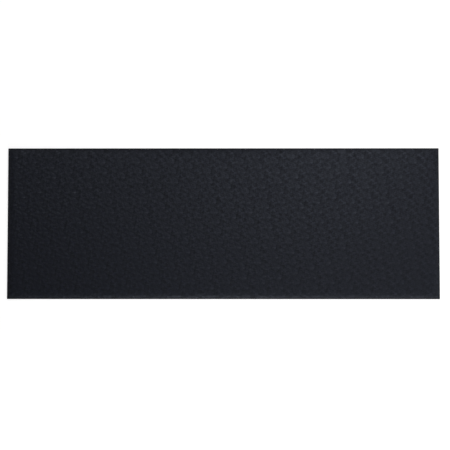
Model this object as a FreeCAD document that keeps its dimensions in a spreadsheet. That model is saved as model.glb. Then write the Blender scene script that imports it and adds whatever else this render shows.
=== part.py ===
import FreeCAD, Part
import math
import os

import Sketcher

# A bevelled anti fatigue mat, lying flat. X runs along its length, Y across its width and Z up.
# The origin is the centre of its underside. It is a laminate of five sheets, from the floor up:
# grip base, lower bond film, foam core, upper bond film and wear surface. The wear surface comes
# down over the bevelled foam on all four sides and ends in a solid rim that sits on the grip base.

DIMENSIONS = {
    "length": 1745.0,
    "width": 610.0,
    "thickness": 12.7,
    # From the flat of the top to the outer edge, seen from above.
    "bevel_width": 32.0,
    # From the floor to where the bevel would meet the edge if the edge were not rounded.
    "edge_height": 4.0,
    "edge_rounding": 1.6,
    "wear_thickness": 2.0,
    "film_thickness": 0.3,
    "base_thickness": 1.2,
    # The solid wear material between the foam's edge and the mat's edge.
    "rim_width": 5.0,
}

doc = FreeCAD.newDocument("anti_fatigue_mat")
sheet = doc.addObject("Spreadsheet::Sheet", "sizes")
for row, (name, value) in enumerate(DIMENSIONS.items(), start=1):
    sheet.set(f"A{row}", name)
    sheet.set(f"B{row}", str(value))
    sheet.setAlias(f"B{row}", name)
doc.recompute()

# Expressions over the sheet's cells. The bevel is one arc, tangent to the flat of the top, and the
# layers below it have arcs about the same centre, so that each keeps its thickness down the bevel.
DROP = "(sizes.thickness - sizes.edge_height)"
TOP_HEIGHT = "sizes.thickness"
TOP_RADIUS = f"(sizes.bevel_width ^ 2 + {DROP} ^ 2) / (2 * {DROP})"
UNDER_WEAR_HEIGHT = f"{TOP_HEIGHT} - sizes.wear_thickness"
UNDER_WEAR_RADIUS = f"{TOP_RADIUS} - sizes.wear_thickness"
UNDER_FILM_HEIGHT = f"{UNDER_WEAR_HEIGHT} - sizes.film_thickness"
UNDER_FILM_RADIUS = f"{UNDER_WEAR_RADIUS} - sizes.film_thickness"
BASE_HEIGHT = "sizes.base_thickness"
FOAM_FLOOR_HEIGHT = "sizes.base_thickness + sizes.film_thickness"
NO_INSET = "0"
RIM_INSET = "sizes.rim_width"

START, END = 1, 2
ORIGIN_POINT = (-1, 1)
VERTICAL_AXIS = -2


def value_of(expression):
    """The number that an expression over the sheet's cells gives."""
    return float(sheet.evalExpression(expression))


def new_sketch(body, plane_role):
    """An empty sketch on one of the body's own origin planes."""
    plane = next(f for f in body.Origin.OriginFeatures if f.Role == plane_role)
    sketch = body.newObject("Sketcher::SketchObject", f"{body.Name}_sketch")
    sketch.AttachmentSupport = [(plane, "")]
    sketch.MapMode = "FlatFace"
    return sketch


def fix_size(sketch, name, expression, kind, *places):
    """Adds a dimension to a sketch and binds it to the sheet."""
    index = sketch.addConstraint(Sketcher.Constraint(kind, *places, value_of(expression)))
    sketch.renameConstraint(index, name)
    sketch.setExpression(f"Constraints.{name}", expression)


def pad(body, sketch, length, both_ways):
    """Pads a sketch to the length that an expression gives."""
    feature = body.newObject("PartDesign::Pad", f"{body.Name}_pad")
    feature.Profile = sketch
    feature.SideType = "Symmetric" if both_ways else "One side"
    feature.setExpression("Length", length)
    sketch.Visibility = False


def bevelled_bar(name, plane_role, span, depth, floor, crown, radius, run, rounding):
    """A bar of one section: flat on top, with an arc down to a short upright edge on each side.

    span is the section's whole width, depth the bar's length, floor and crown the heights of its
    underside and top, radius the arcs' radius and run how far each arc reaches outward. Where a
    rounding is given, a small tangent arc turns the bevel into the upright edge.
    """
    body = doc.addObject("PartDesign::Body", name)
    sketch = new_sketch(body, plane_role)
    half = value_of(span) / 2
    low = value_of(floor)
    high = value_of(crown)
    reach = value_of(run)
    bevel_radius = value_of(radius)
    nose_radius = value_of(rounding) if rounding else 0
    centre_height = high - bevel_radius
    turn = math.acos((reach - nose_radius) / (bevel_radius - nose_radius))
    nose_height = centre_height + (bevel_radius - nose_radius) * math.sin(turn)

    def line(x1, y1, x2, y2):
        return sketch.addGeometry(
            Part.LineSegment(FreeCAD.Vector(x1, y1, 0), FreeCAD.Vector(x2, y2, 0))
        )

    def arc(x, y, arc_radius, low_angle, high_angle, side):
        """An arc on one side of the section, and its end points, the one nearer the edge first."""
        circle = Part.Circle(FreeCAD.Vector(side * x, y, 0), FreeCAD.Vector(0, 0, 1), arc_radius)
        if side > 0:
            return sketch.addGeometry(Part.ArcOfCircle(circle, low_angle, high_angle)), START, END
        mirrored = (math.pi - high_angle, math.pi - low_angle)
        return sketch.addGeometry(Part.ArcOfCircle(circle, *mirrored)), END, START

    def join(kind, *places):
        sketch.addConstraint(Sketcher.Constraint(kind, *places))

    bottom = line(-half, low, half, low)
    top = line(reach - half, high, half - reach, high)
    join("Symmetric", bottom, START, bottom, END, VERTICAL_AXIS)
    join("Symmetric", top, START, top, END, VERTICAL_AXIS)
    bevels = []
    noses = []
    for side, corner in ((1, END), (-1, START)):
        edge = line(side * half, low, side * half, nose_height)
        join("Vertical", edge)
        join("Coincident", bottom, corner, edge, START)
        bevel, outer, inner = arc(half - reach, centre_height, bevel_radius, turn, math.pi / 2, side)
        join("Tangent", bevel, inner, top, corner)
        bevels.append(bevel)
        if rounding:
            nose, outermost, upper = arc(half - nose_radius, nose_height, nose_radius, 0, turn, side)
            join("Tangent", nose, upper, bevel, outer)
            join("Tangent", nose, outermost, edge, END)
            noses.append(nose)
        else:
            join("Coincident", bevel, outer, edge, END)

    fix_size(sketch, "span", span, "DistanceX", bottom, START, bottom, END)
    fix_size(sketch, "floor", floor, "DistanceY", *ORIGIN_POINT, bottom, END)
    fix_size(sketch, "crown", crown, "DistanceY", *ORIGIN_POINT, top, END)
    fix_size(sketch, "run", run, "DistanceX", top, END, bottom, END)
    fix_size(sketch, "bevel_radius", radius, "Radius", bevels[0])
    join("Equal", *bevels)
    if rounding:
        fix_size(sketch, "edge_rounding", rounding, "Radius", noses[0])
        join("Equal", *noses)
    pad(body, sketch, depth, both_ways=True)
    return body


def bevelled_form(name, inset, floor, crown, radius, rounding=None):
    """A flat-topped form bevelled on all four sides, standing inset from the mat's edges.

    It is what a bar that runs across the mat and a bar that runs along it have in common, so the
    bevels meet in a mitre at each corner.
    """
    long_side = f"sizes.length - 2 * {inset}"
    short_side = f"sizes.width - 2 * {inset}"
    run = f"sizes.bevel_width - {inset}"
    form = doc.addObject("Part::Common", name)
    form.Base = bevelled_bar(
        f"{name}_across", "XZ_Plane", long_side, short_side, floor, crown, radius, run, rounding
    )
    form.Tool = bevelled_bar(
        f"{name}_along", "YZ_Plane", short_side, long_side, floor, crown, radius, run, rounding
    )
    return form


def flat_sheet(name, inset, height, thickness):
    """A flat rectangular sheet, standing inset from the mat's edges, with its underside at a height."""
    long_side = f"sizes.length - 2 * {inset}"
    short_side = f"sizes.width - 2 * {inset}"
    body = doc.addObject("PartDesign::Body", name)
    sketch = new_sketch(body, "XY_Plane")
    half_length = value_of(long_side) / 2
    half_width = value_of(short_side) / 2
    corners = [
        FreeCAD.Vector(x * half_length, y * half_width, 0)
        for x, y in ((-1, -1), (1, -1), (1, 1), (-1, 1))
    ]
    sides = [
        sketch.addGeometry(Part.LineSegment(corners[i], corners[(i + 1) % 4])) for i in range(4)
    ]
    for i, side in enumerate(sides):
        direction = "Horizontal" if i % 2 == 0 else "Vertical"
        sketch.addConstraint(Sketcher.Constraint("Coincident", side, END, sides[(i + 1) % 4], START))
        sketch.addConstraint(Sketcher.Constraint(direction, side))
    sketch.addConstraint(
        Sketcher.Constraint("Symmetric", sides[0], START, sides[1], END, *ORIGIN_POINT)
    )
    fix_size(sketch, "long_side", long_side, "DistanceX", sides[0], START, sides[0], END)
    fix_size(sketch, "short_side", short_side, "DistanceY", sides[1], START, sides[1], END)
    pad(body, sketch, thickness, both_ways=False)
    body.setExpression("Placement.Base.z", height)
    return body


def cut(name, base, tool):
    """What is left of one shape where another is taken out."""
    result = doc.addObject("Part::Cut", name)
    result.Base = base
    result.Tool = tool
    return result


grip_base = flat_sheet("grip_base", NO_INSET, "0", "sizes.base_thickness")
lower_bond_film = flat_sheet("lower_bond_film", RIM_INSET, BASE_HEIGHT, "sizes.film_thickness")
foam_core = bevelled_form(
    "foam_core", RIM_INSET, FOAM_FLOOR_HEIGHT, UNDER_FILM_HEIGHT, UNDER_FILM_RADIUS
)
film_outside = bevelled_form(
    "film_outside", RIM_INSET, FOAM_FLOOR_HEIGHT, UNDER_WEAR_HEIGHT, UNDER_WEAR_RADIUS
)
upper_bond_film = cut("upper_bond_film", film_outside, foam_core)
wear_outside = bevelled_form(
    "wear_outside", NO_INSET, BASE_HEIGHT, TOP_HEIGHT, TOP_RADIUS, "sizes.edge_rounding"
)
wear_inside = bevelled_form(
    "wear_inside", RIM_INSET, BASE_HEIGHT, UNDER_WEAR_HEIGHT, UNDER_WEAR_RADIUS
)
wear_surface = cut("wear_surface", wear_outside, wear_inside)

doc.recompute()

SUB_PARTS = (grip_base, lower_bond_film, foam_core, upper_bond_film, wear_surface)

for item in doc.Objects:
    if "Invalid" in item.State or "Error" in item.State:
        raise RuntimeError(f"{item.Label} did not compute: {item.State}")
for item in SUB_PARTS:
    shape = item.Shape
    if shape.isNull() or not shape.isValid() or len(shape.Solids) != 1:
        raise RuntimeError(f"{item.Label} is not one valid solid")

os.makedirs("parts", exist_ok=True)
for item in SUB_PARTS:
    item.Shape.exportStep(f"parts/{item.Label}.step")
    size = item.Shape.BoundBox
    print(
        f"{item.Label}: {size.XLength:.2f} x {size.YLength:.2f} x {size.ZLength:.2f} mm, "
        f"from z = {size.ZMin:.2f} mm, {item.Shape.Volume / 1e6:.4f} litres"
    )
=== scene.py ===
import math

import bpy
import numpy as np
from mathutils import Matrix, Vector


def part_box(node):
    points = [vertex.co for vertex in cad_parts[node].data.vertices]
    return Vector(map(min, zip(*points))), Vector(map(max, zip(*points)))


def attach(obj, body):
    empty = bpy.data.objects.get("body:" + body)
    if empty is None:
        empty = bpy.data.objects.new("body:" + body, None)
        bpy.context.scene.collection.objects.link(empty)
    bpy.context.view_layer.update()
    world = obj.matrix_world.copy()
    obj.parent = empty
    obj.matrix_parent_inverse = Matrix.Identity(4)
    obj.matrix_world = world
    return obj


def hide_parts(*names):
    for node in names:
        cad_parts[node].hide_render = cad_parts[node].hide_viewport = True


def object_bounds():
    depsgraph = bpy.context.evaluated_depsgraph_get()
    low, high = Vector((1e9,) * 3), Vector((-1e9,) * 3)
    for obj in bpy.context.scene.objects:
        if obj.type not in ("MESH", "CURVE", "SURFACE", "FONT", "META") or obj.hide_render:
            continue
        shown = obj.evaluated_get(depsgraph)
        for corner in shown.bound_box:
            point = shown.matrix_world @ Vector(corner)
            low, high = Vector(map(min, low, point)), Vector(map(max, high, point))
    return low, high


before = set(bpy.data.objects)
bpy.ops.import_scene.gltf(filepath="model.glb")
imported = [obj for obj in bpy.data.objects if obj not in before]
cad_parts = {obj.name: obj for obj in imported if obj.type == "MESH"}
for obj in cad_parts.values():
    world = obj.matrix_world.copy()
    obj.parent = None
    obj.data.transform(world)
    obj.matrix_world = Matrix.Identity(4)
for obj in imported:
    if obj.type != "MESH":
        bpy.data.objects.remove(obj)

# The anti fatigue mat lies flat with its underside on the floor, length along X and width along Y.
# The wear surface, the foam core and the grip base are modelled here as finished meshes in the
# space of their CAD nodes. The two bond films keep their CAD shapes. Everything is in metres.

MM = 0.001
cad_low, cad_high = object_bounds()
wear_low, wear_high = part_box("wear_surface")
foam_low, foam_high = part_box("foam_core")
base_low, base_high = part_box("grip_base")
film_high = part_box("upper_bond_film")[1]

# The bevel, as the CAD has it. At a corner two bevels add their drops as this power of them, which
# softens the hip between them a little.
BEVEL_WIDTH = 32 * MM
EDGE_HEIGHT = 4.0 * MM
EDGE_ROUNDING = 1.6 * MM
HIP_POWER = 12

# The pebble emboss. Its artwork repeats along two directions, as an emboss roll with a staggered
# repeat leaves it: once along the mat, and once in rows that step sideways by a bit under half.
REPEAT_ALONG = (139.7 * MM, 0.0)
REPEAT_ROW = (66.3 * MM, 20.25 * MM)

# The pebbles: how far apart, how much longer than wide, and how much smaller one is than the
# rectangle round it.
PEBBLE_SPACING = 8.9 * MM
PEBBLE_STRETCH = 1.35
PEBBLE_PACKING = 0.87
# Their height, the least and most of it that one has, how much it falls towards a pebble's rim, and
# the steepest that a pebble tilts.
PEBBLE_DEPTH = 0.35 * MM
PEBBLE_LEVELS = (0.75, 1.0)
PEBBLE_DOMING = 0.3
PEBBLE_TILT = 0.14
VALLEY_WIDTH = 2.4 * MM

# Fields of waves are given as their shortest and longest wave and how many there are. The first
# three repeat with the artwork: what bends the pebbles' outlines, a swell of the surface and blotches
# of tone. The last doesn't repeat, and is the sheet's own unevenness over the foam.
WANDER = 0.45 * MM
WANDER_WAVES = (9 * MM, 18 * MM, 10)
SWELL_HEIGHT = 0.2 * MM
SWELL_WAVES = (12 * MM, 30 * MM, 16)
BLOTCH_WAVES = (18 * MM, 50 * MM, 12)
UNEVEN_HEIGHT = 0.26 * MM
UNEVEN_WAVES = (14 * MM, 38 * MM, 30)

# The tone of the vinyl is about a half, give or take these for blotches, single pebbles and the
# part that doesn't repeat.
BLOTCH_TONE = 0.12
PEBBLE_TONE = 0.4
UNEVEN_TONE = 0.12

RELIEF_DEPTH = 1.4 * MM
MESH_PITCH = 1.5 * MM
EMBOSS_RASTER = 0.3 * MM
EMBOSS_FADE = 7 * MM
# Within this distance of the edge the crests fade out, so the rim takes the valleys' dark colour as
# painted shade along the edge, and their dull gloss too.
RIM_PAINTED_SHADE = 4 * MM

# The foam's mesh, the unevenness that skiving leaves on it, and its broken lower edge.
FOAM_PITCH = 6 * MM
FOAM_UNEVENNESS = 0.12 * MM
FOAM_EDGE = 0.4 * MM

# The backing's square pads and the V grooves between them.
WAFFLE_PITCH = 10 * MM
WAFFLE_BORDER = 8 * MM
GROOVE_HALF = 1.2 * MM
GROOVE_DEPTH = 0.5 * MM

# The chamfers where the wear surface's rim and the backing meet.
SEAM = 0.15 * MM

# A piece's texture map, in shares of its size: where its two halves start and how far up they reach,
# and the margin left at the sides.
NEAR_HALF = (0.38, 0.6)
FAR_HALF = (0.02, 0.33)
MAP_MARGIN = 0.01

rng = np.random.default_rng(24)


def smoothstep(x):
    x = np.clip(x, 0, 1)
    return x * x * (3 - 2 * x)


# ---------------------------------------------------------------------------------------------
# Shapes
# ---------------------------------------------------------------------------------------------

class Bevel:
    """The mat's edge section: flat, then an arc down to a rounded edge.

    inset is how far below the mat's own top a layer lies, measured square to the surface.
    """

    def __init__(self, inset=0.0, rounding=0.0):
        drop = cad_high.z - EDGE_HEIGHT
        full_radius = (BEVEL_WIDTH**2 + drop**2) / (2 * drop)
        self.crown = cad_high.z - inset
        self.centre = cad_high.z - full_radius
        self.radius = full_radius - inset
        self.rounding = rounding
        self.turn = math.acos((BEVEL_WIDTH - rounding) / (self.radius - rounding))
        self.nose_height = self.centre + (self.radius - rounding) * math.sin(self.turn)

    def height(self, distance):
        """Height at a distance from the mat's outer edge."""
        reach = np.maximum(BEVEL_WIDTH - distance, 0)
        arc = self.centre + np.sqrt(np.maximum(self.radius**2 - reach**2, 0))
        inward = np.clip(self.rounding - distance, 0, None)
        nose = self.nose_height + np.sqrt(np.maximum(self.rounding**2 - inward**2, 0))
        return np.where(reach > self.radius * math.cos(self.turn), nose, arc)


def edge_lines(half, pitch, bevel, nose_steps=7, shoulder_steps=5, ease=1.5):
    """Grid positions along one axis: close together over the rounded edges, even between them.

    The shoulder leads from one spacing to the other, and ease is the power by which it widens.
    """
    angles = np.linspace(0, math.pi / 2 - bevel.turn, nose_steps)
    nose = bevel.rounding * (1 - np.cos(angles))
    widening = pitch - (nose[-1] - nose[-2])
    shoulder = nose[-1] + widening * np.linspace(0, 1, shoulder_steps)[1:] ** ease
    inward = np.concatenate([nose, shoulder])
    start = half - inward[-1]
    count = 2 * round(start / pitch) + 1
    even = np.linspace(-start, start, count)
    return np.concatenate([inward[:-1] - half, even, half - inward[-2::-1]])


def bevelled_height(x, y, half_length, half_width, bevel, margin=0.0):
    """The height of a form bevelled on four sides, which stands a margin inside the mat's edge."""
    drop_x = bevel.crown - bevel.height(half_length + margin - np.abs(x))
    drop_y = bevel.crown - bevel.height(half_width + margin - np.abs(y))
    unit = bevel.crown
    summed = (drop_x / unit) ** HIP_POWER + (drop_y / unit) ** HIP_POWER
    return bevel.crown - unit * summed ** (1 / HIP_POWER)


def new_piece(name, verts, faces):
    mesh = bpy.data.meshes.new(name)
    mesh.from_pydata(verts, [], faces)
    mesh.validate()
    obj = bpy.data.objects.new(name, mesh)
    bpy.context.scene.collection.objects.link(obj)
    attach(obj, "root")
    return obj


def grid_solid(name, xs, ys, heights, rings, up=True):
    """A closed solid: a grid of heights on one side, then rings of the grid's outline drawn inward
    and away from it, each given as (inset, z), closed by one flat face.

    The grid faces up, or down where up is False.
    """
    columns, rows = len(xs), len(ys)
    grid_x, grid_y = np.meshgrid(xs, ys)
    verts = np.stack([grid_x.ravel(), grid_y.ravel(), heights.ravel()], axis=1)
    index = np.arange(rows * columns).reshape(rows, columns)
    corners = [index[:-1, :-1], index[:-1, 1:], index[1:, 1:], index[1:, :-1]]
    quads = np.stack(corners, axis=-1).reshape(-1, 4)
    outline = np.concatenate([index[0, :-1], index[:-1, -1], index[-1, :0:-1], index[:0:-1, 0]])
    around = verts[outline]
    half = np.array([xs[-1], ys[-1]])

    def inset_by(inset):
        return around[:, :2] * (half - inset) / half

    all_verts = [verts]
    all_faces = [quads]
    # Where each point lies on the two halves of the map: the grid with the first ring laid out
    # flat around it, and the other rings and the closing face unrolled inward.
    lip = abs(around[0, 2] - rings[0][1])
    near_half = [verts[:, :2], inset_by(-lip)]
    far_half = [verts[:, :2]]
    last = outline
    total = len(verts)
    unrolled = 0.0
    for k, (inset, z) in enumerate(rings):
        if k:
            unrolled += math.hypot(inset - rings[k - 1][0], z - rings[k - 1][1])
            near_half.append(inset_by(inset))
        far_half.append(inset_by(unrolled))
        here = np.arange(total, total + len(around))
        total += len(around)
        all_verts.append(np.column_stack([inset_by(inset), np.full(len(around), z)]))
        all_faces.append(np.stack([last, here, np.roll(here, -1), np.roll(last, -1)], axis=-1))
        last = here
    faces = np.concatenate(all_faces)
    cap = last[::-1]
    if not up:
        faces = faces[:, ::-1]
        cap = cap[::-1]
    obj = new_piece(name, np.concatenate(all_verts).tolist(), faces.tolist() + [cap.tolist()])
    near_faces = len(quads) + len(outline)
    lay_out(obj, np.concatenate(near_half), np.concatenate(far_half), near_faces, half + lip, up)
    return obj


def lay_out(obj, near_half, far_half, near_faces, reach, up):
    """The piece's own texture map, named OFBake, for baking through.

    Its first faces, near_faces of them, take the upper half and the others the lower half. What
    faces down is mirrored, so that no half is inside out.
    """
    mesh = obj.data
    corners = np.empty(len(mesh.loops), int)
    mesh.loops.foreach_get("vertex_index", corners)
    sizes = np.empty(len(mesh.polygons), int)
    mesh.polygons.foreach_get("loop_total", sizes)
    is_near = np.repeat(np.arange(len(sizes)) < near_faces, sizes)
    share = np.where(is_near[:, None], near_half[corners], far_half[corners]) / reach / 2 + 0.5
    share_x = np.where(is_near != up, 1 - share[:, 0], share[:, 0])
    across = MAP_MARGIN + (1 - 2 * MAP_MARGIN) * share_x
    near_start, near_reach = NEAR_HALF
    far_start, far_reach = FAR_HALF
    near_along = near_start + near_reach * share[:, 1]
    far_along = far_start + far_reach * share[:, 1]
    along = np.where(is_near, near_along, far_along)
    layer = mesh.uv_layers.new(name="OFBake")
    layer.data.foreach_set("uv", np.column_stack([across, along]).ravel())


def smooth(obj, sharp_angle):
    """Smooth shading, broken where faces meet at more than an angle in degrees."""
    mesh = obj.data
    mesh.shade_smooth()
    mesh.set_sharp_from_angle(angle=math.radians(sharp_angle))


# ---------------------------------------------------------------------------------------------
# The emboss pattern
# ---------------------------------------------------------------------------------------------

def scattered_points(count, tries=24):
    """Points spread evenly but at random over one repeat, in repeat units: best of several tries."""
    points = [rng.random(2)]
    for _ in range(count - 1):
        best, best_gap = None, -1.0
        for candidate in rng.random((tries, 2)):
            gap = nearest_distances(candidate[None], np.array(points))[0][0]
            if gap > best_gap:
                best, best_gap = candidate, gap
        points.append(best)
    return np.array(points)


def to_place(units):
    """Repeat units to metres, with the length stretched out of the pebbles' long direction."""
    along, row = np.array(REPEAT_ALONG), np.array(REPEAT_ROW)
    place = units[..., :1] * along + units[..., 1:] * row
    place[..., 0] /= PEBBLE_STRETCH
    return place


def nearest_distances(where, points):
    """For each place in repeat units: the distances to the nearest and second nearest point, which
    point is nearest, and the way from it. The points repeat without end."""
    shifts = np.array([(i, j) for i in (-1, 0, 1) for j in (-1, 0, 1)])
    images = to_place((points[None] + shifts[:, None]).reshape(-1, 2))
    gaps = to_place(where)[:, None] - images[None]
    distance = np.hypot(gaps[..., 0], gaps[..., 1])
    order = np.argpartition(distance, 1, axis=1)[:, :2]
    pair = np.take_along_axis(distance, order, axis=1)
    first = np.where(pair[:, 0] <= pair[:, 1], order[:, 0], order[:, 1])
    way = np.take_along_axis(gaps, first[:, None, None], axis=1)[:, 0]
    return pair.min(1), pair.max(1), first % len(points), way


def repeat_waves(where, shortest, longest, count):
    """A smooth random field that repeats with the artwork: waves of between two lengths.

    Each wave fits a whole number of times into the repeat along both of its directions.
    """
    most_along, most_row = 12, 4
    inverse = np.linalg.inv(np.stack([REPEAT_ALONG, REPEAT_ROW], axis=1))
    field = np.zeros(len(where))
    added = 0
    while added < count:
        along = rng.integers(-most_along, most_along + 1)
        row = rng.integers(-most_row, most_row + 1)
        waves_per_metre = np.hypot(*(np.array([along, row]) @ inverse))
        if waves_per_metre > 0 and shortest < 1 / waves_per_metre < longest:
            field += np.cos(2 * math.pi * (where @ (along, row) + rng.random()))
            added += 1
    return field / math.sqrt(count / 2)


class Emboss:
    """The pebble pattern of one repeat, kept as rasters that are read back at any place."""

    def __init__(self):
        cell_area = REPEAT_ALONG[0] * REPEAT_ROW[1]
        count = round(cell_area / (PEBBLE_SPACING**2 * PEBBLE_STRETCH * PEBBLE_PACKING))
        self.columns = round(REPEAT_ALONG[0] / EMBOSS_RASTER)
        self.rows = round(REPEAT_ROW[1] / EMBOSS_RASTER)
        s, t = np.meshgrid(
            (np.arange(self.columns) + 0.5) / self.columns, (np.arange(self.rows) + 0.5) / self.rows
        )
        where = np.stack([s.ravel(), t.ravel()], axis=1)
        points = scattered_points(count)
        warp = np.stack([repeat_waves(where, *WANDER_WAVES) for _ in range(2)], axis=1)
        warped = where + warp * WANDER / (REPEAT_ALONG[0], REPEAT_ROW[1])
        first, second, which, way = self.pebble_distances(warped, points)
        levels = rng.uniform(*PEBBLE_LEVELS, count)
        tilts = rng.uniform(-PEBBLE_TILT, PEBBLE_TILT, (count, 2))
        edge = smoothstep((second - first) / VALLEY_WIDTH)
        dome = edge * (1 - PEBBLE_DOMING * (first / PEBBLE_SPACING) ** 2) * levels[which]
        tilt = edge * (tilts[which] * way).sum(1)
        height = PEBBLE_DEPTH * dome + tilt + SWELL_HEIGHT * repeat_waves(where, *SWELL_WAVES)
        self.height = (height - height.mean()).reshape(self.rows, self.columns)
        self.crest = edge.reshape(self.rows, self.columns)
        blotches = BLOTCH_TONE * repeat_waves(where, *BLOTCH_WAVES)
        tone = 0.5 + blotches + rng.uniform(-PEBBLE_TONE, PEBBLE_TONE, count)[which]
        self.tone = tone.reshape(self.rows, self.columns)

    @staticmethod
    def pebble_distances(where, points, parts=24):
        """What nearest_distances gives, found in parts to spare the memory."""
        found = (nearest_distances(part, points) for part in np.array_split(where, parts))
        return (np.concatenate(column) for column in zip(*found, strict=True))

    def read(self, raster, x, y):
        """The raster's value at places on the mat, between its pixels where need be.

        Past the top of the raster a new row of repeats starts, and x moves with it by the row's
        step, so the raster wraps round on both axes.
        """
        t = y / REPEAT_ROW[1]
        s = (x - t * REPEAT_ROW[0]) / REPEAT_ALONG[0]
        column, row = s * self.columns - 0.5, t * self.rows - 0.5
        left, low = np.floor(column).astype(int), np.floor(row).astype(int)
        share_x, share_y = column - left, row - low

        def along_row(j):
            near = raster[j % self.rows, left % self.columns]
            far = raster[j % self.rows, (left + 1) % self.columns]
            return near * (1 - share_x) + far * share_x

        return along_row(low) * (1 - share_y) + along_row(low + 1) * share_y


def loose_waves(x, y, shortest, longest, count):
    """A smooth random field that never repeats: waves of between two lengths, every way round."""
    field = np.zeros(x.shape)
    for _ in range(count):
        turn, start = rng.random(2) * 2 * math.pi
        pace = 2 * math.pi / rng.uniform(shortest, longest)
        field += np.cos(pace * (x * math.cos(turn) + y * math.sin(turn)) + start)
    return field / math.sqrt(count / 2)


def add_attribute(obj, name, values):
    """A number for each vertex, which a material can read."""
    attribute = obj.data.attributes.new(name, "FLOAT", "POINT")
    attribute.data.foreach_set("value", np.asarray(values, np.float32))


# ---------------------------------------------------------------------------------------------
# Materials
# ---------------------------------------------------------------------------------------------

class Nodes:
    """The nodes of a material or a world, built one at a time."""

    def __init__(self, owner):
        owner.use_nodes = True
        self.owner = owner
        self.tree = owner.node_tree

    def add(self, kind, settings=None, **inputs):
        node = self.tree.nodes.new(kind)
        for key, value in (settings or {}).items():
            setattr(node, key, value)
        for key, value in inputs.items():
            self.feed(node.inputs[key.replace("_", " ")], value)
        return node

    def feed(self, socket, value):
        """Links another node's output to an input, or sets the input to a constant."""
        if isinstance(value, bpy.types.NodeSocket):
            self.tree.links.new(value, socket)
        else:
            socket.default_value = value

    def set_shader(self, name, value):
        """Feeds an input of the material's own shader."""
        self.feed(self.tree.nodes["Principled BSDF"].inputs[name], value)

    def object_place(self):
        return self.add("ShaderNodeTexCoord").outputs["Object"]

    def noise(self, scale, detail=2.0, roughness=0.5):
        node = self.add("ShaderNodeTexNoise", Vector=self.object_place(), Scale=scale, Detail=detail)
        node.inputs["Roughness"].default_value = roughness
        return node.outputs["Fac"]

    def attribute(self, name):
        return self.add("ShaderNodeAttribute", {"attribute_name": name}).outputs["Fac"]

    def ramp(self, value, low, high, to_low, to_high):
        """Maps the range from low to high onto another, and holds what lies outside at its ends."""
        node = self.add("ShaderNodeMapRange", Value=value)
        ends = {"From Min": low, "From Max": high, "To Min": to_low, "To Max": to_high}
        for name, number in ends.items():
            node.inputs[name].default_value = number
        return node.outputs["Result"]

    def mix(self, share, first, second):
        """A blend of two colours: the first at share 0, the second at share 1."""
        node = self.add("ShaderNodeMix", {"data_type": "RGBA"})
        self.feed(node.inputs[0], share)
        self.feed(node.inputs[6], first)
        self.feed(node.inputs[7], second)
        return node.outputs[2]

    def maths(self, operation, first, second):
        node = self.add("ShaderNodeMath", {"operation": operation})
        self.feed(node.inputs[0], first)
        self.feed(node.inputs[1], second)
        return node.outputs[0]

    def bump(self, height, distance, strength=1.0, under=None):
        node = self.add("ShaderNodeBump", Height=height, Distance=distance, Strength=strength)
        if under is not None:
            self.feed(node.inputs["Normal"], under)
        return node.outputs["Normal"]


def grey(value, tint=(1.0, 1.0, 1.0)):
    return (value * tint[0], value * tint[1], value * tint[2], 1.0)


def wear_vinyl():
    """Black vinyl with a bluish cast: glossier on the crests, with painted shade that makes the
    valleys darker than the crests.

    Both its colour and its gloss follow the crest and tone of the emboss. Noise varies them: wide
    clouds, a mottle of a few pebbles and a fine grain.
    """
    nodes = Nodes(bpy.data.materials.new("wear_vinyl_emboss"))
    tint = (0.85, 0.91, 1.42)
    sheen_tint = (0.9, 1.0, 1.13, 1.0)
    crest = nodes.attribute("crest")
    tone = nodes.attribute("tone")
    clouds = nodes.noise(5.0, 3.0)
    mottle = nodes.noise(55.0, 2.0, 0.6)
    grain = nodes.noise(900.0, 3.0, 0.6)
    # Painted shade: the valleys' colour is darker than the crests', standing in for the shade that
    # falls in them.
    valley_shade_colour = nodes.mix(tone, grey(0.0015, tint), grey(0.0045, tint))
    crest_colour = nodes.mix(tone, grey(0.004, tint), grey(0.0155, tint))
    base = nodes.mix(crest, valley_shade_colour, crest_colour)
    mottled = nodes.mix(nodes.ramp(mottle, 0.3, 0.7, 0.0, 0.4), base, grey(0.0085, tint))
    clouded = nodes.mix(nodes.ramp(clouds, 0.35, 0.65, 0.0, 0.2), mottled, grey(0.0065, tint))
    speckled = nodes.mix(nodes.ramp(grain, 0.45, 0.75, 0.0, 0.2), clouded, grey(0.014, tint))
    gloss = nodes.maths("ADD", nodes.maths("ADD", crest, tone), nodes.maths("MULTIPLY", mottle, 2.0))
    grained = nodes.bump(grain, 0.13 * MM)
    nodes.set_shader("Base Color", speckled)
    nodes.set_shader("Roughness", nodes.ramp(gloss, 1.2, 3.4, 0.78, 0.34))
    nodes.set_shader("Specular IOR Level", 0.2)
    nodes.set_shader("Specular Tint", sheen_tint)
    nodes.set_shader("Normal", nodes.bump(nodes.noise(2600.0, 1.0), 0.03 * MM, under=grained))
    return nodes.owner


def sponge():
    """Closed-cell foam: dark grey, matt, with fine round cells."""
    nodes = Nodes(bpy.data.materials.new("foam_sponge"))
    voronoi = nodes.add("ShaderNodeTexVoronoi", Vector=nodes.object_place(), Scale=900.0)
    cells = voronoi.outputs["Distance"]
    celled = nodes.mix(nodes.ramp(cells, 0.1, 0.6, 0.0, 1.0), grey(0.02), grey(0.045))
    patches = nodes.ramp(nodes.noise(30.0), 0.3, 0.7, 0.0, 0.4)
    nodes.set_shader("Base Color", nodes.mix(patches, celled, grey(0.03)))
    nodes.set_shader("Roughness", nodes.ramp(nodes.noise(200.0), 0.3, 0.7, 0.85, 0.95))
    nodes.set_shader("Normal", nodes.bump(cells, 0.2 * MM, 0.8))
    return nodes.owner


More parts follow.
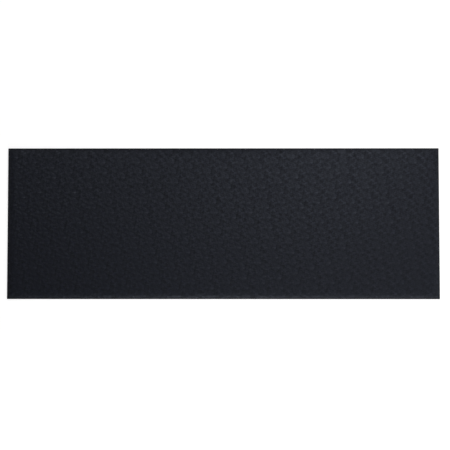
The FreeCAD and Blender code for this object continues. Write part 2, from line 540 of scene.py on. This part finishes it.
def bond_film():
    """Hot-melt film: milky amber and smooth, with faint clouding."""
    nodes = Nodes(bpy.data.materials.new("bond_film"))
    clouding = nodes.noise(60.0, 4.0)
    nodes.set_shader("Base Color", nodes.mix(clouding, (0.5, 0.42, 0.27, 1), (0.68, 0.62, 0.48, 1)))
    nodes.set_shader("Roughness", nodes.ramp(clouding, 0.3, 0.7, 0.3, 0.5))
    nodes.set_shader("Normal", nodes.bump(nodes.noise(400.0), 0.03 * MM, 0.5))
    return nodes.owner


def grip_rubber():
    """The backing: matt black, with a chalky bloom and a fine moulded grain."""
    nodes = Nodes(bpy.data.materials.new("grip_backing"))
    grain = nodes.noise(1100.0, 3.0, 0.65)
    bloom = nodes.noise(14.0, 4.0)
    base = nodes.mix(nodes.ramp(bloom, 0.35, 0.7, 0.0, 0.6), grey(0.013), grey(0.02))
    grained = nodes.mix(nodes.ramp(grain, 0.45, 0.8, 0.0, 0.4), base, grey(0.03))
    nodes.set_shader("Base Color", grained)
    nodes.set_shader("Roughness", nodes.ramp(grain, 0.3, 0.7, 0.82, 0.68))
    nodes.set_shader("Normal", nodes.bump(grain, 0.08 * MM, 0.8))
    return nodes.owner


def dress(obj, material):
    obj.data.materials.clear()
    obj.data.materials.append(material)


# ---------------------------------------------------------------------------------------------
# Pieces
# ---------------------------------------------------------------------------------------------

def make_wear_surface():
    """The top sheet: an embossed shell over the bevelled foam, with a solid rim on the backing."""
    emboss = Emboss()
    bevel = Bevel(rounding=EDGE_ROUNDING)
    half_length, half_width = wear_high.x, wear_high.y
    xs = edge_lines(half_length, MESH_PITCH, bevel)
    ys = edge_lines(half_width, MESH_PITCH, bevel)
    grid_x, grid_y = np.meshgrid(xs, ys)
    edge_distance = np.minimum(half_length - np.abs(grid_x), half_width - np.abs(grid_y))
    relief = emboss.read(emboss.height, grid_x, grid_y)
    relief += UNEVEN_HEIGHT * loose_waves(grid_x, grid_y, *UNEVEN_WAVES)
    # Between the CAD surface and the full depth of the relief, with the extremes eased off.
    depth = RELIEF_DEPTH / 2 * (1 - np.tanh(relief / (RELIEF_DEPTH / 2)))
    heights = bevelled_height(grid_x, grid_y, half_length, half_width, bevel)
    heights -= depth * smoothstep(edge_distance / EMBOSS_FADE)

    inner = Bevel(inset=cad_high.z - film_high.z)
    rim = half_length - film_high.x
    floor = wear_low.z
    arc_steps = 9
    arc = [(inset, float(inner.height(inset))) for inset in np.linspace(rim, BEVEL_WIDTH, arc_steps)]
    rings = [(0.0, floor + SEAM), (SEAM, floor), (rim, floor), *arc]
    obj = grid_solid("wear_surface_embossed", xs, ys, heights, rings)

    # Painted shade along the rim: the crest fades out towards the edge, so the rim gets the darker
    # valley colour and a duller gloss.
    crest = emboss.read(emboss.crest, grid_x, grid_y) * smoothstep(edge_distance / RIM_PAINTED_SHADE)
    tone = emboss.read(emboss.tone, grid_x, grid_y)
    tone += UNEVEN_TONE * loose_waves(grid_x, grid_y, *UNEVEN_WAVES)
    below = np.zeros(len(obj.data.vertices) - heights.size)
    add_attribute(obj, "crest", np.append(crest.ravel(), below))
    add_attribute(obj, "tone", np.append(tone.ravel(), below + 0.5))
    smooth(obj, sharp_angle=50)
    dress(obj, wear_vinyl())
    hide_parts("wear_surface")


def make_foam_core():
    """The sponge: a bevelled slab with the faint unevenness of skived foam."""
    bevel = Bevel(inset=cad_high.z - foam_high.z)
    rim = wear_high.x - foam_high.x
    xs = np.linspace(-foam_high.x, foam_high.x, 2 * round(foam_high.x / FOAM_PITCH) + 1)
    ys = np.linspace(-foam_high.y, foam_high.y, 2 * round(foam_high.y / FOAM_PITCH) + 1)
    grid_x, grid_y = np.meshgrid(xs, ys)
    heights = bevelled_height(grid_x, grid_y, foam_high.x, foam_high.y, bevel, margin=rim)
    heights -= FOAM_UNEVENNESS * rng.random(heights.shape)
    rings = [(0.0, foam_low.z + FOAM_EDGE), (FOAM_EDGE, foam_low.z)]
    obj = grid_solid("foam_core_sponge", xs, ys, heights, rings)
    smooth(obj, sharp_angle=40)
    dress(obj, sponge())
    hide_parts("foam_core")


def waffle_lines(half):
    """Grid positions along one axis for square pads, and which of them lie in a groove."""
    count = round((half - WAFFLE_BORDER) * 2 / WAFFLE_PITCH)
    grooves = np.linspace(WAFFLE_BORDER - half, half - WAFFLE_BORDER, count + 1)
    pads = np.concatenate([grooves[:-1] + GROOVE_HALF, grooves[1:] - GROOVE_HALF])
    rim = np.array([half, half - WAFFLE_BORDER + GROOVE_HALF])
    lines = np.concatenate([grooves, pads, rim, -rim])
    in_groove = np.arange(len(lines)) < len(grooves)
    order = np.argsort(lines)
    return lines[order], in_groove[order]


def make_grip_base():
    """The backing sheet: flat above, with square pads below that touch the floor."""
    half_length, half_width = base_high.x, base_high.y
    xs, groove_x = waffle_lines(half_length)
    ys, groove_y = waffle_lines(half_width)
    inside_x = np.abs(xs) <= half_length - WAFFLE_BORDER
    inside_y = np.abs(ys) <= half_width - WAFFLE_BORDER
    in_groove = (groove_x[None] | groove_y[:, None]) & inside_x[None] & inside_y[:, None]
    heights = base_low.z + np.where(in_groove, GROOVE_DEPTH, 0.0)
    rings = [(0.0, base_high.z - SEAM), (SEAM, base_high.z)]
    obj = grid_solid("grip_base_sheet", xs, ys, heights, rings, up=False)
    smooth(obj, sharp_angle=12)
    dress(obj, grip_rubber())
    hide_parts("grip_base")


def dress_bond_films():
    """The two films keep their CAD shapes and get a material."""
    material = bond_film()
    for node in ("upper_bond_film", "lower_bond_film"):
        dress(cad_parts[node], material)


make_wear_surface()
make_foam_core()
make_grip_base()
dress_bond_films()


# ---------------------------------------------------------------------------------------------
# Studio
# ---------------------------------------------------------------------------------------------

CAMERA_LENS = 50.0
CAMERA_DISTANCE = 2.53
CAMERA_TILT = math.radians(1.55)
CAMERA_SWING = math.radians(0.2)
CAMERA_AIM = Vector((0.0072, -0.0061, 0.0))
CAMERA_REACH = 50

# The paper that the mat lies on: its own grey, and a glow that makes it show as white. The glow
# grows from the mat outward, between two distances from its middle.
FLOOR_SIZE = 60
PAPER = 0.5
GLOW_NEAR = 0.69
GLOW_REACH = (1.0, 3.5)

# The strength of the ceiling's light, and the heights between which the white walls give way to it,
# as the sine of the angle above the horizon.
CEILING = 0.03
WALL_HEIGHTS = (0.12, 0.3)

# Each lamp's direction from the middle of the mat, in degrees: azimuth from +X towards +Y, and
# elevation. Then its distance and size in metres and its power in watts. The sheen comes from above
# and behind, most of all on the right, where one small lamp stands near.
LAMPS = (
    ("top_right", 45, 72, 2.6, 1.0, 14.0),
    ("top_back", 90, 66, 2.6, 1.0, 5.0),
    ("near_right", 45, 40, 1.5, 0.6, 5.0),
    ("back_left", 135, 52, 2.6, 1.0, 12.0),
    ("right", 0, 32, 2.6, 1.0, 8.0),
    ("front_right", 315, 22, 2.6, 1.0, 14.0),
    ("front", 270, 22, 2.6, 1.0, 25.0),
    ("front_low", 270, 10, 2.6, 1.0, 20.0),
)


def make_floor():
    """Paper that shows as white, and keeps the mat's shadow where the lamps light it."""
    bpy.ops.mesh.primitive_plane_add(size=FLOOR_SIZE, location=(0, 0, 0))
    floor = bpy.context.object
    floor.name = "studio_floor"
    nodes = Nodes(bpy.data.materials.new("studio_floor"))
    nodes.tree.nodes.remove(nodes.tree.nodes["Principled BSDF"])
    paper = nodes.add("ShaderNodeBsdfDiffuse", Color=grey(PAPER))
    from_mat = nodes.add("ShaderNodeVectorMath", {"operation": "LENGTH"})
    nodes.feed(from_mat.inputs[0], nodes.object_place())
    strength = nodes.ramp(from_mat.outputs["Value"], *GLOW_REACH, GLOW_NEAR, 1.0)
    glow = nodes.add("ShaderNodeEmission", Color=grey(1.0), Strength=strength)
    both = nodes.add("ShaderNodeAddShader")
    nodes.feed(both.inputs[0], paper.outputs[0])
    nodes.feed(both.inputs[1], glow.outputs[0])
    shown = nodes.add("ShaderNodeMixShader", Fac=shown_rays(nodes))
    nodes.feed(shown.inputs[1], paper.outputs[0])
    nodes.feed(shown.inputs[2], both.outputs[0])
    nodes.feed(nodes.tree.nodes["Material Output"].inputs["Surface"], shown.outputs[0])
    dress(floor, nodes.owner)


def make_lamps():
    for name, azimuth, elevation, distance, size, power in LAMPS:
        light = bpy.data.lights.new(name, "AREA")
        light.shape = "SQUARE"
        light.size = size
        light.energy = power
        lamp = bpy.data.objects.new(name, light)
        around, up = math.radians(azimuth), math.radians(elevation)
        away = Vector((math.cos(around) * math.cos(up), math.sin(around) * math.cos(up), math.sin(up)))
        lamp.location = away * distance
        lamp.rotation_euler = away.to_track_quat("Z", "Y").to_euler()
        bpy.context.scene.collection.objects.link(lamp)


def shown_rays(nodes):
    """1 for rays that show a thing to the camera, straight or through gloss or glass."""
    path = nodes.add("ShaderNodeLightPath")
    seen = nodes.maths("MAXIMUM", path.outputs["Is Camera Ray"], path.outputs["Is Glossy Ray"])
    return nodes.maths("MAXIMUM", seen, path.outputs["Is Transmission Ray"])


def make_world():
    """White walls low down, all round, that light nothing, under a dark ceiling."""
    world = bpy.data.worlds.new("studio")
    bpy.context.scene.world = world
    nodes = Nodes(world)
    place = nodes.add("ShaderNodeTexCoord").outputs["Generated"]
    direction = nodes.add("ShaderNodeSeparateXYZ", Vector=place)
    walls = nodes.ramp(direction.outputs["Z"], *WALL_HEIGHTS, 1.0, CEILING)
    strength = nodes.add("ShaderNodeMix", {"data_type": "FLOAT"})
    nodes.feed(strength.inputs[0], shown_rays(nodes))
    nodes.feed(strength.inputs[2], CEILING)
    nodes.feed(strength.inputs[3], walls)
    background = nodes.tree.nodes["Background"]
    nodes.feed(background.inputs["Color"], grey(1.0))
    nodes.feed(background.inputs["Strength"], strength.outputs[0])


def make_camera():
    """Straight above, but for a slight lean that brings the near long edge closer."""
    camera = bpy.data.objects.new("camera", bpy.data.cameras.new("camera"))
    camera.data.lens = CAMERA_LENS
    camera.data.clip_end = CAMERA_REACH
    camera.rotation_euler = (CAMERA_TILT, CAMERA_SWING, 0)
    back = camera.rotation_euler.to_matrix() @ Vector((0, 0, 1))
    camera.location = CAMERA_AIM + back * CAMERA_DISTANCE
    bpy.context.scene.collection.objects.link(camera)
    bpy.context.scene.camera = camera


make_floor()
make_lamps()
make_world()
make_camera()
bpy.context.scene.view_settings.view_transform = "Standard"
